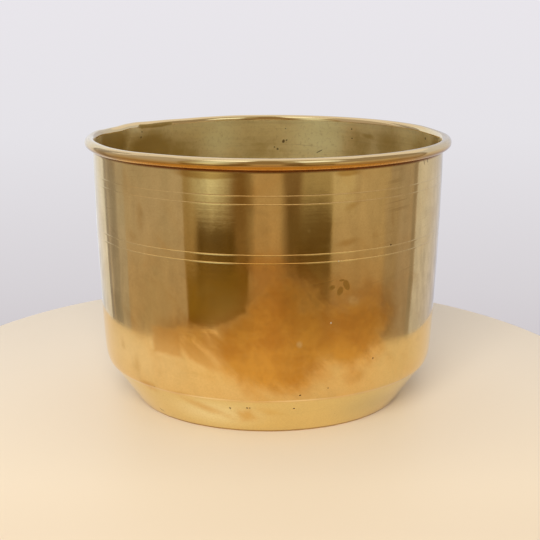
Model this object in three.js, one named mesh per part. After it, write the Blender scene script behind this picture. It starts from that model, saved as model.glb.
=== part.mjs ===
// Spun brass flower pot with a wired rim.
// A sheet brass body has a slightly tapering wall with two pairs of scored lines, a shoulder that
// rolls under to a crease, a coned foot and a dished floor. Its top edge is rolled outwards over
// a steel wire, which makes the round bead of the rim.
// Millimetres, +Z up. The pot's axis is Z and it stands on z = 0.
import * as THREE from 'three';

// Driving dimensions
const potHeight = 175;              // table to the top of the bead
const sheet = 0.9;                  // thickness of the brass
const wallTopDiameter = 229.4;      // outside of the wall, just under the bead
const wallFootDiameter = 220.2;     // outside of the wall, where the shoulder starts
const wallBulge = 0.8;              // how far the wall swells out of a straight taper
const shoulderHeight = 14.3;        // from the crease up to the end of the wall
const shoulderInset = 4.2;          // how far the shoulder draws in at the crease
const shoulderRoll = 19;            // degrees left to the horizontal where the shoulder ends
const coneHeight = 25.6;            // table to the crease
const coneInset = 18;              // how far the foot draws in from the crease to the table
const footEdgeRadius = 1.2;         // rounding between the cone and the standing ring
const standingRingWidth = 6;        // flat ring that touches the table
const dishDepth = 1.5;              // how far the floor is pushed up inside the ring
const dishRun = 3;                  // width of the slope between the ring and the floor
const wireDiameter = 4.4;           // steel wire inside the rim
const wireClearance = 0.3;          // gap between the wire and the brass rolled over it
const wireEndGap = 1.2;             // gap between the wire's two butted ends
const wireJointAngle = 8;           // degrees from +X towards +Y where the wire's ends meet
const rimDrawIn = 0.6;              // how far rolling the bead pulls the top of the wall in
const neckHeight = 8;               // height over which the wall is pulled in
const curlGap = 0.3;                // gap between the rolled edge and the wall
const upperLineDrop = 22.2;         // top of the pot down to the first scored line
const lineSpacing = 5;              // between the two lines of a pair
const pairPitch = 35;               // from the upper pair down to the lower pair
const lineWidth = 1.2;
const lineDepth = 0.35;

// Fineness of the facets
const roundSides = 64;
const shoulderSteps = 6;
const edgeSteps = 2;
const neckSteps = 3;
const curlSteps = 13;
const wallStep = 24;                // longest plain stretch of wall between two rings
const wireSteps = 5;                // half the number of flats on the wire

// Sizes that follow
const curlRadius = wireDiameter / 2 + wireClearance;       // inside of the rolled edge
const beadRadius = curlRadius + sheet;                     // outside of the bead
const mouthRadius = wallTopDiameter / 2 - sheet - rimDrawIn;
const beadCentre = new THREE.Vector2(mouthRadius + beadRadius, potHeight - beadRadius);
const neckBottom = beadCentre.y - neckHeight;
const crease = new THREE.Vector2(wallFootDiameter / 2 - shoulderInset, coneHeight);
const wallBottom = coneHeight + shoulderHeight;
const footRadius = crease.x - coneInset;                   // where cone and table would meet

const radians = THREE.MathUtils.degToRad;

// Outside radius of the wall at a height: a straight taper with an even swell.
function wallRadius(z) {
  const share = (z - wallBottom) / (neckBottom - wallBottom);
  const taper = THREE.MathUtils.lerp(wallFootDiameter / 2, wallTopDiameter / 2, share);
  return taper + 4 * wallBulge * share * (1 - share);
}

function wallSlope(z) {
  const step = 0.01;
  return (wallRadius(z + step) - wallRadius(z)) / step;
}

// The floor seen from below: the dish, its slope and the standing ring.
function floorOutline(ringOuter) {
  const ringInner = ringOuter - standingRingWidth;
  return [
    new THREE.Vector2(0, dishDepth),
    new THREE.Vector2(ringInner - dishRun, dishDepth),
    new THREE.Vector2(ringInner, 0),
  ];
}

// The rounded edge between the standing ring and the cone, an arc that touches both.
function footEdge() {
  const coneAngle = Math.atan2(coneHeight, coneInset);
  const reach = footEdgeRadius * Math.tan(coneAngle / 2);
  const centreX = footRadius - reach;
  const arc = new THREE.Path();
  arc.absarc(centreX, footEdgeRadius, footEdgeRadius, -Math.PI / 2, coneAngle - Math.PI / 2);
  return { ringOuter: centreX, points: arc.getPoints(edgeSteps) };
}

// The shoulder leaves the wall along its slope and tightens until it ends at the crease.
function shoulderOutline() {
  const top = new THREE.Vector2(wallRadius(wallBottom), wallBottom);
  const slope = wallSlope(wallBottom);
  const roll = Math.tan(radians(shoulderRoll));
  const kneeZ = (crease.y + roll * (top.x - slope * wallBottom - crease.x)) / (1 - roll * slope);
  const knee = new THREE.Vector2(top.x + slope * (kneeZ - wallBottom), kneeZ);
  return new THREE.QuadraticBezierCurve(crease, knee, top).getPoints(shoulderSteps);
}

// The neck eases the wall inwards until it stands upright beside the wire.
function neckOutline() {
  const start = new THREE.Vector2(wallRadius(neckBottom), neckBottom);
  const end = new THREE.Vector2(beadCentre.x - curlRadius, beadCentre.y);
  const lead = neckHeight / 2;
  const startLead = new THREE.Vector2(start.x + wallSlope(neckBottom) * lead, start.y + lead);
  const endLead = new THREE.Vector2(end.x, end.y - lead);
  return new THREE.CubicBezierCurve(start, startLead, endLead, end).getPoints(neckSteps);
}

// Heights of the scored lines, from the top of the pot down.
function lineHeights() {
  const first = potHeight - upperLineDrop;
  return [0, pairPitch].flatMap((drop) => [first - drop, first - drop - lineSpacing]);
}

// Plain rings on the wall between two heights, both ends left out.
function wallRings(low, high) {
  const count = Math.max(1, Math.ceil((high - low) / wallStep));
  const rings = [];
  for (let i = 1; i < count; i += 1) {
    const z = THREE.MathUtils.lerp(low, high, i / count);
    rings.push(new THREE.Vector2(wallRadius(z), z));
  }
  return rings;
}

// The wall's outside from the shoulder to the neck, with each line scored as a shallow vee.
function scoredWall() {
  const points = [];
  let low = wallBottom;
  for (const z of lineHeights().reverse()) {
    points.push(...wallRings(low, z - lineWidth / 2));
    points.push(new THREE.Vector2(wallRadius(z - lineWidth / 2), z - lineWidth / 2));
    points.push(new THREE.Vector2(wallRadius(z) - lineDepth, z));
    points.push(new THREE.Vector2(wallRadius(z + lineWidth / 2), z + lineWidth / 2));
    low = z + lineWidth / 2;
  }
  return [...points, ...wallRings(low, neckBottom)];
}

// The same outline one sheet thickness further in, mitred at every bend.
function insetOutline(points) {
  return points.map((point, i) => {
    const before = points[Math.max(i - 1, 0)];
    const after = points[Math.min(i + 1, points.length - 1)];
    const into = i === 0 ? after.clone().sub(point) : point.clone().sub(before);
    const out = i === points.length - 1 ? into.clone() : after.clone().sub(point);
    const normalIn = new THREE.Vector2(-into.y, into.x).normalize();
    const normalOut = new THREE.Vector2(-out.y, out.x).normalize();
    const mitre = normalIn.clone().add(normalOut).normalize();
    return point.clone().addScaledVector(mitre, sheet / mitre.dot(normalIn));
  });
}

// The edge rolled over the wire: round its inside to the cut edge, then back round its outside.
function rolledEdge() {
  const edgeX = wallTopDiameter / 2 + curlGap;
  const endAngle = -Math.acos(THREE.MathUtils.clamp((edgeX - beadCentre.x) / beadRadius, -1, 0));
  const around = (radius) => {
    const points = [];
    for (let i = 0; i <= curlSteps; i += 1) {
      const angle = THREE.MathUtils.lerp(Math.PI, endAngle, i / curlSteps);
      const arm = new THREE.Vector2(Math.cos(angle), Math.sin(angle)).multiplyScalar(radius);
      points.push(beadCentre.clone().add(arm));
    }
    return points;
  };
  return [...around(curlRadius), ...around(beadRadius).reverse()];
}

function bodyGeometry() {
  const edge = footEdge();
  const base = [...floorOutline(edge.ringOuter), ...edge.points];
  const shoulder = shoulderOutline();
  const neck = neckOutline();
  const smoothOutside = [...base, ...shoulder, ...wallRings(wallBottom, neckBottom), ...neck];
  const inside = insetOutline(smoothOutside).slice(0, -1).reverse();
  inside[inside.length - 1].x = 0;
  const outside = [...base, ...shoulder, ...scoredWall(), ...neck.slice(0, -1)];
  const profile = [...outside, ...rolledEdge(), ...inside];
  return new THREE.LatheGeometry(profile, roundSides).rotateX(Math.PI / 2);
}

// The wire's centre line: one turn round the pot, short of closing by the gap at its ends.
class WireLine extends THREE.Curve {
  getPoint(t, target = new THREE.Vector3()) {
    const halfGap = wireEndGap / 2 / beadCentre.x;
    const start = radians(wireJointAngle) + halfGap;
    const angle = start + t * 2 * (Math.PI - halfGap);
    const x = beadCentre.x * Math.cos(angle);
    const y = beadCentre.x * Math.sin(angle);
    return target.set(x, y, beadCentre.y);
  }
}

function wireGeometry() {
  const section = new THREE.Shape();
  section.absarc(0, 0, wireDiameter / 2, 0, 2 * Math.PI);
  return new THREE.ExtrudeGeometry(section, {
    steps: roundSides,
    curveSegments: wireSteps,
    bevelEnabled: false,
    extrudePath: new WireLine(),
  });
}

const brass = new THREE.MeshStandardMaterial({ color: 0xc9a45c, roughness: 0.32, metalness: 1 });
const steel = new THREE.MeshStandardMaterial({ color: 0x8b8880, roughness: 0.5, metalness: 1 });

function piece(name, geometry, material) {
  const mesh = new THREE.Mesh(geometry, material);
  mesh.name = name;
  return mesh;
}

const pot = new THREE.Group();
pot.add(piece('spun_body', bodyGeometry(), brass));
pot.add(piece('rim_wire', wireGeometry(), steel));

export default pot;
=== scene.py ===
import math

import bpy
import numpy as np
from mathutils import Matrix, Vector


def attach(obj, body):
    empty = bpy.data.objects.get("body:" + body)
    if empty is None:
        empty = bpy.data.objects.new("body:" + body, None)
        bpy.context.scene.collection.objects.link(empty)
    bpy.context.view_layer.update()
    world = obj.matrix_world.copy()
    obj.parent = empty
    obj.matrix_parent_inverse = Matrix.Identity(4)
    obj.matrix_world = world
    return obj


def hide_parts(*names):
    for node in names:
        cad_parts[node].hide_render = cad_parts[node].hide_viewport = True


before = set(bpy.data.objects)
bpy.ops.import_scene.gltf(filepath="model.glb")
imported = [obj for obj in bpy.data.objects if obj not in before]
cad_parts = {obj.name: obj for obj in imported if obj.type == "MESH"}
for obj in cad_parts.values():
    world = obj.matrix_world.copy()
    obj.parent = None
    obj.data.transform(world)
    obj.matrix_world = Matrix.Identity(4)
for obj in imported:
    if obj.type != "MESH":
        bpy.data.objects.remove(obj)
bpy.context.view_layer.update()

# Sizes of the pot in millimetres, the same as those of the solids.
MM = 0.001
POT_HEIGHT = 175.0
SHEET = 0.9
WALL_TOP_RADIUS = 114.7
WALL_FOOT_RADIUS = 110.1
WALL_BULGE = 0.8          # how far the wall swells out of a straight taper
WALL_BOTTOM = 39.9        # where the wall passes into the shoulder
SHOULDER_INSET = 4.2      # how far the shoulder draws in down to the crease
SHOULDER_ROLL = 19.0      # degrees left to the horizontal at the crease
CONE_HEIGHT = 25.6
CONE_INSET = 18.0         # how far the foot draws in below the crease
FOOT_EDGE_RADIUS = 1.2
RING_WIDTH = 6.0          # the flat ring that the pot stands on
DISH_DEPTH = 1.5          # how far the floor is pushed up inside the ring
DISH_RUN = 3.0
WIRE_RADIUS = 2.2
WIRE_END_GAP = 1.2
WIRE_JOINT = 8            # degrees from +X towards +Y where the wire's ends meet
CURL_RADIUS = 2.5         # inside of the edge that is rolled over the wire
CURL_GAP = 0.3            # between the rolled edge and the wall
NECK_HEIGHT = 8.0
RIM_DRAW_IN = 0.6         # how far rolling the bead pulls the top of the wall in
LINE_HEIGHTS = (112.8, 117.8, 147.8, 152.8)

# Finer forms than the solids have, and a bead that stays a hair inside theirs.
BEAD_RADIUS = 3.39
CREASE_SOFTENING = 1.1    # how far below the crease the cone starts to bend into it
LINE_WIDTH = 0.9
LINE_DEPTH = 0.1
PRESS_BOTTOM = 165.4      # the groove that the roller has pressed in under the bead
PRESS_HEIGHT = 2.9
PRESS_DEPTH = 0.1         # how far it goes in behind the upright neck
MOUTH_LEAN = 10.0         # how far below the neck the inside starts to lean to the mouth

# Places that follow from these sizes.
BEAD_X = WALL_TOP_RADIUS - SHEET - RIM_DRAW_IN + CURL_RADIUS + SHEET
BEAD_Z = POT_HEIGHT - CURL_RADIUS - SHEET
NECK_BOTTOM = BEAD_Z - NECK_HEIGHT
CREASE = (WALL_FOOT_RADIUS - SHOULDER_INSET, CONE_HEIGHT)

# How finely things are drawn.
ROUND_STEPS = 320
WIRE_STEPS = 240
RING_STEP = 4             # longest plain stretch between two rings of the wall and the cone
FLOOR_STEP = 9            # the same for the floor
BESIDE_EDGE = (0.4, 0.12)  # two rings close beside an edge make it shade crisply
MERGE_WITHIN = 0.002


# Small helpers.

def wall_radius(z):
    share = (z - WALL_BOTTOM) / (NECK_BOTTOM - WALL_BOTTOM)
    taper = WALL_FOOT_RADIUS + (WALL_TOP_RADIUS - WALL_FOOT_RADIUS) * share
    return taper + 4 * WALL_BULGE * share * (1 - share)


def wall_slope(z):
    step = 0.01
    return (wall_radius(z + step) - wall_radius(z)) / step


def spaced(low, high, step):
    """Even places from low up to just before high, no further apart than step."""
    count = max(1, math.ceil(abs(high - low) / step))
    return [low + (high - low) * i / count for i in range(count)]


def arc(centre, radius, start, end, steps):
    """Points on an arc, angles in degrees, both ends included."""
    points = []
    for i in range(steps + 1):
        angle = math.radians(start + (end - start) * i / steps)
        points.append((centre[0] + radius * math.cos(angle), centre[1] + radius * math.sin(angle)))
    return points


def line(a, b, step):
    """Points from a up to just before b."""
    count = max(1, math.ceil(math.dist(a, b) / step))
    return [(a[0] + (b[0] - a[0]) * i / count, a[1] + (b[1] - a[1]) * i / count)
            for i in range(count)]


def bezier(points, steps):
    """Points on a Bezier curve through its first and last control point."""
    out = []
    for i in range(steps + 1):
        t = i / steps
        level = [Vector(p) for p in points]
        while len(level) > 1:
            level = [a.lerp(b, t) for a, b in zip(level, level[1:])]
        out.append(tuple(level[0]))
    return out


# The outline of the sheet, as radius and height in millimetres.

def foot_outline():
    """The underside from the middle outwards: dish, slope, standing ring and rounded edge."""
    cone_angle = math.degrees(math.atan2(CONE_HEIGHT, CONE_INSET))
    foot_radius = CREASE[0] - CONE_INSET
    edge_x = foot_radius - FOOT_EDGE_RADIUS * math.tan(math.radians(cone_angle / 2))
    ring_in = edge_x - RING_WIDTH
    floor_end = ring_in - DISH_RUN
    floor = line((0, DISH_DEPTH), (floor_end, DISH_DEPTH), FLOOR_STEP)
    slope = bezier([(floor_end, DISH_DEPTH), (ring_in - DISH_RUN * 0.55, DISH_DEPTH),
                    (ring_in - DISH_RUN * 0.45, 0), (ring_in, 0)], steps=6)
    edge = arc((edge_x, FOOT_EDGE_RADIUS), FOOT_EDGE_RADIUS, -90, cone_angle - 90, steps=5)
    return floor + slope + edge


def shoulder_outline():
    """From the top of the cone over the softened crease and round the shoulder to the wall."""
    top = (wall_radius(WALL_BOTTOM), WALL_BOTTOM)
    slope = wall_slope(WALL_BOTTOM)
    roll = math.tan(math.radians(SHOULDER_ROLL))
    knee_z = (CREASE[1] + roll * (top[0] - slope * WALL_BOTTOM - CREASE[0])) / (1 - roll * slope)
    knee = (top[0] + slope * (knee_z - WALL_BOTTOM), knee_z)
    cone_angle = math.atan2(CONE_HEIGHT, CONE_INSET)
    before = (CREASE[0] - CREASE_SOFTENING * math.cos(cone_angle),
              CREASE[1] - CREASE_SOFTENING * math.sin(cone_angle))
    shoulder = bezier([CREASE, knee, top], steps=18)
    softened = 4              # the point of the shoulder where the softened crease ends
    crease = bezier([before, CREASE, shoulder[softened]], steps=5)
    return crease + shoulder[softened + 1:]


def groove(z):
    """One scored line across the wall, a shallow rounded valley."""
    steps = 8
    points = []
    for i in range(steps + 1):
        share = i / steps
        height = z + (share - 0.5) * LINE_WIDTH
        depth = LINE_DEPTH * 0.5 * (1 - math.cos(2 * math.pi * share))
        points.append((wall_radius(height) - depth, height))
    return points


def wall_outline(scored):
    """The wall from the shoulder to the neck, both ends left out."""
    far, near = BESIDE_EDGE
    points = []
    low = WALL_BOTTOM
    for z in LINE_HEIGHTS if scored else ():
        edge = z - LINE_WIDTH / 2
        heights = spaced(low, edge - far, RING_STEP)[1:] + [edge - far, edge - near]
        points += [(wall_radius(h), h) for h in heights]
        points += groove(z)
        low = z + LINE_WIDTH / 2
        points += [(wall_radius(h), h) for h in (low + near, low + far)]
        low += far
    edge = PRESS_BOTTOM
    heights = spaced(low, edge - far, RING_STEP)[1:] + [edge - far, edge - near]
    return points + [(wall_radius(h), h) for h in heights]


def neck_outline():
    """Just under the bead the roll has pressed the wall in; behind the bead it stands upright.
    The middle points of the two curves say how soon each one bends."""
    start = (wall_radius(PRESS_BOTTOM), PRESS_BOTTOM)
    end = (BEAD_X - CURL_RADIUS, BEAD_Z)
    pressed = (end[0] - PRESS_DEPTH, PRESS_BOTTOM + PRESS_HEIGHT)
    under = bezier([start, (start[0], start[1] + 0.42 * PRESS_HEIGHT),
                    (pressed[0] + 0.22, pressed[1] - 0.3 * PRESS_HEIGHT), pressed], steps=10)
    behind = bezier([pressed, (pressed[0] - 0.1, pressed[1] + 1.0),
                     (end[0], end[1] - 1.2), end], steps=5)
    return under[:-1] + behind


def mouth_outline():
    """The inside from the plain wall up to the mouth, which leans in very slightly."""
    low = NECK_BOTTOM - MOUTH_LEAN
    start = (wall_radius(low) - SHEET, low)
    end = (BEAD_X - BEAD_RADIUS, BEAD_Z)
    lead = (end[1] - start[1]) / 2
    return bezier([start, (start[0], start[1] + lead), (end[0], end[1] - lead), end], steps=8)


def inset_outline(points):
    """The same outline one sheet thickness further in, mitred at every bend."""
    out = []
    for i, point in enumerate(points):
        here = Vector(point)
        before = here - Vector(points[i - 1]) if i > 0 else Vector(points[1]) - here
        after = Vector(points[i + 1]) - here if i < len(points) - 1 else before
        normal_in = Vector((-before.y, before.x)).normalized()
        normal_out = Vector((-after.y, after.x)).normalized()
        mitre = (normal_in + normal_out).normalized()
        out.append(tuple(here + mitre * (SHEET / mitre.dot(normal_in))))
    return out


def rolled_edge():
    """Round the inside of the roll to the cut edge, then back round its outside to the mouth."""
    edge_x = WALL_TOP_RADIUS + CURL_GAP
    end = -math.degrees(math.acos(max(-1, min(0, (edge_x - BEAD_X) / BEAD_RADIUS))))
    inner = arc((BEAD_X, BEAD_Z), CURL_RADIUS, 180, end, steps=22)
    return inner + arc((BEAD_X, BEAD_Z), BEAD_RADIUS, end, 180, steps=48)[:-1]


def body_outline():
    """The whole closed outline of the sheet, from the axis underneath to the axis inside."""
    foot = foot_outline()
    shoulder = shoulder_outline()
    cone = line(foot[-1], shoulder[0], RING_STEP)[1:]
    mouth = mouth_outline()
    just_below_mouth = mouth[0][1] - 1
    plain_wall = [p for p in wall_outline(scored=False) if p[1] < just_below_mouth]
    inside = (inset_outline(foot + cone + shoulder + plain_wall) + mouth)[::-1]
    inside[-1] = (0, inside[-1][1])
    outside = foot + cone + shoulder + wall_outline(scored=True) + neck_outline()[:-1]
    return outside + rolled_edge() + inside


# Modelling by hand.

def deselect():
    if bpy.context.object and bpy.context.object.mode == "EDIT":
        bpy.ops.object.mode_set(mode="OBJECT")
    bpy.ops.object.select_all(action="DESELECT")


def draw_outline(name, points):
    """A new piece that is one open line: a point drawn out from place to place in the XZ plane."""
    deselect()
    bpy.ops.mesh.primitive_plane_add(size=MM)
    obj = bpy.context.object
    obj.name = name
    obj.data.name = name
    bpy.ops.object.mode_set(mode="EDIT")
    bpy.ops.mesh.select_mode(type="VERT")
    bpy.ops.mesh.select_all(action="SELECT")
    bpy.ops.mesh.merge(type="CENTER")
    place = Vector((points[0][0] * MM, 0, points[0][1] * MM))
    bpy.ops.transform.translate(value=place)
    for x, z in points[1:]:
        to = Vector((x * MM, 0, z * MM))
        bpy.ops.mesh.extrude_region_move(TRANSFORM_OT_translate={"value": to - place})
        place = to
    return obj


def spin_round(steps, turn=2 * math.pi):
    """Spins what is drawn about the upright axis and closes the seam, where there is one."""
    bpy.ops.mesh.select_all(action="SELECT")
    bpy.ops.mesh.spin(steps=steps, angle=turn, center=(0, 0, 0), axis=(0, 0, 1))
    bpy.ops.mesh.select_all(action="SELECT")
    bpy.ops.mesh.remove_doubles(threshold=MERGE_WITHIN * MM)


def grab(obj, test):
    """Selects the vertices whose places pass the test and leaves the piece in edit mode."""
    bpy.ops.object.mode_set(mode="OBJECT")
    mesh = obj.data
    places = np.empty(len(mesh.vertices) * 3)
    mesh.vertices.foreach_get("co", places)
    mesh.vertices.foreach_set("select", test(places.reshape(-1, 3)))
    mesh.edges.foreach_set("select", np.zeros(len(mesh.edges), bool))
    mesh.polygons.foreach_set("select", np.zeros(len(mesh.polygons), bool))
    mesh.update()
    bpy.ops.object.mode_set(mode="EDIT")


def on_pot(azimuth, radius, height):
    """A place by azimuth in degrees from +X towards +Y, radius and height in millimetres."""
    angle = math.radians(azimuth)
    return Vector((radius * math.cos(angle), radius * math.sin(angle), height)) * MM


def push(obj, azimuth, height, radius, outward, upward, hold, reach):
    """Pushes the sheet at one place, and what lies around it follows softly. Sizes in mm."""
    spot = np.array(on_pot(azimuth, radius, height))
    grab(obj, lambda p: np.linalg.norm(p - spot, axis=1) < hold * MM)
    angle = math.radians(azimuth)
    move = Vector((outward * math.cos(angle), outward * math.sin(angle), upward)) * MM
    bpy.ops.transform.translate(value=move, use_proportional_edit=True,
                                proportional_edit_falloff="SMOOTH", proportional_size=reach * MM)


def finish_piece(obj, angle, *materials):
    """Turns all faces outwards, smooths bends below an angle in degrees and adds materials."""
    bpy.ops.object.mode_set(mode="EDIT")
    bpy.ops.mesh.select_all(action="SELECT")
    bpy.ops.mesh.normals_make_consistent(inside=False)
    bpy.ops.object.mode_set(mode="OBJECT")
    bpy.ops.object.shade_smooth_by_angle(angle=math.radians(angle))
    for material in materials:
        obj.data.materials.append(material)


# Materials.

class Nodes:
    """A node tree and short ways to add and join its nodes."""

    def __init__(self, tree):
        self.tree = tree
        tree.nodes.clear()

    def add(self, kind, inputs=None, **settings):
        node = self.tree.nodes.new("ShaderNode" + kind)
        for name, value in settings.items():
            setattr(node, name, value)
        for name, value in (inputs or {}).items():
            self.put(node.inputs[name], value)
        return node

    def put(self, socket, value):
        if isinstance(value, bpy.types.NodeSocket):
            self.tree.links.new(value, socket)
        else:
            socket.default_value = value

    def surface(self, shader, output="OutputMaterial"):
        """Ends the tree with the shader."""
        self.put(self.add(output).inputs["Surface"], shader.outputs[0])

    def split(self, vector):
        return self.add("SeparateXYZ", {0: vector}).outputs

    def math(self, operation, a, b=0.0, clamp=False):
        node = self.add("Math", {0: a, 1: b}, operation=operation, use_clamp=clamp)
        return node.outputs[0]

    def plus(self, a, b):
        return self.math("ADD", a, b)

    def times(self, a, b):
        return self.math("MULTIPLY", a, b)

    def mix(self, factor, a, b):
        node = self.add("Mix", data_type="RGBA", blend_type="MIX")
        self.put(node.inputs[0], factor)
        self.put(node.inputs[6], a)
        self.put(node.inputs[7], b)
        return node.outputs[2]

    def tint(self, colour, amount, strength, over):
        """The colour with another over it, as far as amount times strength says."""
        return self.mix(self.times(amount, strength), colour, rgb(over))

    def swing(self, noise, amount):
        """A noise made to swing evenly to both sides of nought."""
        return self.times(self.math("SUBTRACT", noise, 0.5), amount)

    def ease(self, value, low, high, to_low=0.0, to_high=1.0):
        """Goes smoothly from to_low, where the value is low, to to_high, where it is high."""
        node = self.add("MapRange", {0: value, 1: low, 2: high, 3: to_low, 4: to_high},
                        interpolation_type="SMOOTHSTEP")
        return node.outputs[0]

    def noise(self, where, scale, detail=3.0, rough=0.5, distort=0.0):
        node = self.add("TexNoise", {"Vector": where, "Scale": scale, "Detail": detail,
                                     "Roughness": rough, "Distortion": distort})
        return node.outputs["Fac"]

    def ramp(self, value, stops):
        node = self.add("ValToRGB", {0: value})
        ramp = node.color_ramp
        ramp.interpolation = "LINEAR"
        while len(ramp.elements) < len(stops):
            ramp.elements.new(1.0)
        for element, (place, colour) in zip(ramp.elements, stops):
            element.position = place
            element.color = (*colour, 1)
        return node.outputs[0]


def new_material(name):
    material = bpy.data.materials.new(name)
    material.use_nodes = True
    return material, Nodes(material.node_tree)


def rgb(colour):
    return (*colour, 1.0)


def mark_space(n, where, azimuth, radius, height, wide, tall, lean=0.0):
    """Coordinates round a mark: 0 in its middle and 1 at its edges. Half sizes in mm."""
    mapping = n.add("Mapping", {"Vector": where, "Location": on_pot(azimuth, radius, height),
                                "Rotation": (math.radians(lean), 0, math.radians(azimuth)),
                                "Scale": (MARK_REACH * MM, wide * MM, tall * MM)},
                    vector_type="TEXTURE")
    return mapping.outputs[0]


def mark(n, where, azimuth, radius, height, wide, tall, soft=1.0, lean=0.0):
    """How strongly a soft oval mark shows: 1 in its middle, 0 past its edge."""
    place = mark_space(n, where, azimuth, radius, height, wide, tall, lean)
    ball = n.add("TexGradient", {"Vector": place}, gradient_type="SPHERICAL")
    return n.ease(ball.outputs["Fac"], 0.0, soft)


def straight_mark(n, where, azimuth, radius, height, wide, tall, soft):
    """The same for a mark with straight sides."""
    place = mark_space(n, where, azimuth, radius, height, wide, tall)
    inward, across, up = n.split(place)
    side = n.math("MAXIMUM", n.math("ABSOLUTE", across), n.math("ABSOLUTE", up))
    side = n.math("MAXIMUM", side, n.math("ABSOLUTE", inward))
    return n.ease(side, 1.0, 1.0 - soft)


def marks(n, where, rows, join="MAXIMUM"):
    """Several marks together, each as strong as its row says."""
    total = None
    for azimuth, radius, height, wide, tall, strength, *edge in rows:
        one = n.times(mark(n, where, azimuth, radius, height, wide, tall, *edge), strength)
        total = one if total is None else n.math(join, total, one)
    return total


# Marks on the pot, one row each: azimuth, radius, height, half width, half height and strength,
# then softness of the edge and lean where they aren't 1 and 0. Sizes in mm, angles in degrees.
MARK_REACH = 30           # how far each mark reaches inwards and outwards
ORANGE_CLOUDS = (
    (-56, 112, 72, 40, 38, 0.85),
    (-70, 112, 64, 46, 34, 0.50),
    (-80, 112, 70, 50, 40, 0.45),
    (-90, 112, 58, 40, 44, 0.62),
    (-93, 112, 94, 28, 46, 0.52),
    (-82, 112, 90, 36, 26, 0.32),
    (-76, 113, 102, 26, 22, 0.30),
    (-90, 113, 113, 34, 9, 0.34),
    (-104, 112, 70, 44, 18, 0.40, 1.0, -8),
    (-100, 111, 55, 46, 22, 0.40),
    (-119, 112, 72, 34, 20, 0.20, 1.0, 10),
    (-120, 111, 62, 34, 20, 0.36),
    (-66, 113, 92, 30, 16, 0.26),
    (-84, 113, 101, 20, 20, 0.32),
    (-61, 110, 41, 22, 14, 0.24),
    (-90, 110, 44, 46, 30, 0.38),
    (-104, 111, 62, 62, 28, 0.14),
    (-66, 111, 58, 24, 16, 0.36),
    (-70, 109, 46, 36, 16, 0.05),
    (-68, 110, 42, 44, 22, 0.14),
)
BROWN_STAINS = (
    (-132.7, 114, 134, 9, 18, 0.42),
    (-136, 114, 122, 14, 9, 0.34, 1.0, -15),
    (-64, 114, 146, 15, 5, 0.38, 1.0, 25),
    (-64.5, 114.6, 153, 12, 5, 0.34, 1.0, 15),
    (-66, 114, 123.5, 16, 5, 0.48, 1.0, 6),
    (-56, 114, 126.5, 6, 7, 0.36),
    (-49, 114, 133, 4, 20, 0.34, 1.0, 6),
    # The next two rows darken the wall just under the bead in front.
    (-108, 114.7, 165.0, 32, 4.6, 1.30),
    (-66, 114.7, 165.2, 16, 3.6, 0.85),
    (-134, 107, 27.8, 18, 5.0, 0.50),
    (-120, 106.5, 27.2, 20, 4.0, 0.36),
    (-146, 110.7, 49, 8, 10, 0.40),
    (-138, 110, 40, 10, 14, 0.40),
    (-59.5, 110, 38.5, 14, 9, 0.42, 1.0, 20),
    (-79, 111, 61, 7, 7, 0.38),
)
BLOTCH = (
    (-65.6, 113, 97.6, 3.4, 6.0, 1.0, 1.0, 24),
    (-67.8, 113, 94.4, 3.4, 5.0, 1.0, 1.0, -24),
    (-70.4, 113, 97.0, 3.8, 2.6, 0.9, 1.0, 14),
    (-67.2, 113, 101.0, 4.4, 1.6, 0.6),
)
GREY_BLOOM = (
    (-63.5, 112.8, 88.4, 15, 9, 0.60),
    (-80.2, 111.3, 62.8, 3.6, 4.2, 1.0, 1.0, 20),
    (-73, 114, 122.6, 11, 2.6, 0.42, 0.8, 4),
    (-77.9, 114.2, 132.2, 1.8, 2.2, 0.7, 0.7, 25),
)
DARK_PITS = (
    (-54.5, 110.9, 48.5, 0.7, 0.6, 0.9, 0.5),
    (-79.7, 108.4, 30.4, 0.9, 0.6, 0.8, 0.5, 20),
    (-70.6, 109, 33.7, 0.6, 0.5, 0.6, 0.5),
    (-81.0, 101.8, 19.7, 0.9, 0.6, 0.9, 0.5),
    (-97.1, 102.2, 20.3, 0.8, 0.6, 1.0, 0.5),
    (-96.2, 102.2, 20.4, 0.7, 0.5, 1.0, 0.5),
    (-103.1, 101.6, 19.4, 0.8, 0.7, 0.7, 0.5),
    (-49.4, 113.4, 118.6, 0.8, 0.7, 0.7, 0.5),
    (-131, 107.2, 27.4, 0.7, 0.4, 0.5, 0.7),
    (-138.2, 91, 4.8, 5.0, 0.5, 0.62, 0.9, -26),
    (-33.6, 114.8, 165.2, 0.5, 2.6, 0.9, 0.8, 12),
    (-31.2, 114.8, 165.6, 0.5, 2.2, 0.9, 0.8, 12),
)
# Small nicks whose near-white colour is a painted glint.
NICKS_WITH_PAINTED_GLINTS = (
    (-70.4, 112.1, 75.1, 0.6, 0.6, 1.0, 0.4),
    (-68.5, 113.8, 112.8, 0.5, 0.5, 0.6, 0.4),
)
CONE_STAINS = (
    (-113, 101, 18, 26, 7, 0.62, 1.0, -22),
    (-104, 98, 11, 12, 6, 0.40, 1.0, -10),
    (-97.5, 98, 13, 12, 10, 0.56, 1.0, 10),
    (-89, 101, 17, 16, 6, 0.44, 1.0, -12),
    (-134, 105, 25, 12, 6, 0.50, 1.0, -10),
)
WELL_POLISHED = (
    (-150, 112, 84, 34, 52, 1.0),
    (-117, 112, 76, 34, 24, 0.7),
    (-30, 112, 84, 34, 52, 1.0),
)
# A painted highlight along the crease above the coned foot.
CREASE_PAINTED_HIGHLIGHT = (
    (-110, 106.4, 26.3, 24, 1.0, 1.0),
    (-80, 106.4, 26.3, 28, 1.0, 1.0),
)
WARM_BEAD_ENDS = (
    (178, 119, 171.5, 44, 9, 0.75),
    (-160, 119, 170, 34, 5, 0.55),
    (2, 119, 171.5, 44, 9, 0.20),
)
DARK_BEAD = (
    (-113, 120, 171, 9, 4, 0.55, 0.9),
    (-102, 120, 171, 11, 4, 0.75, 0.9),
    (-79, 120, 171, 13, 4, 0.75, 0.9),
)
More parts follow.
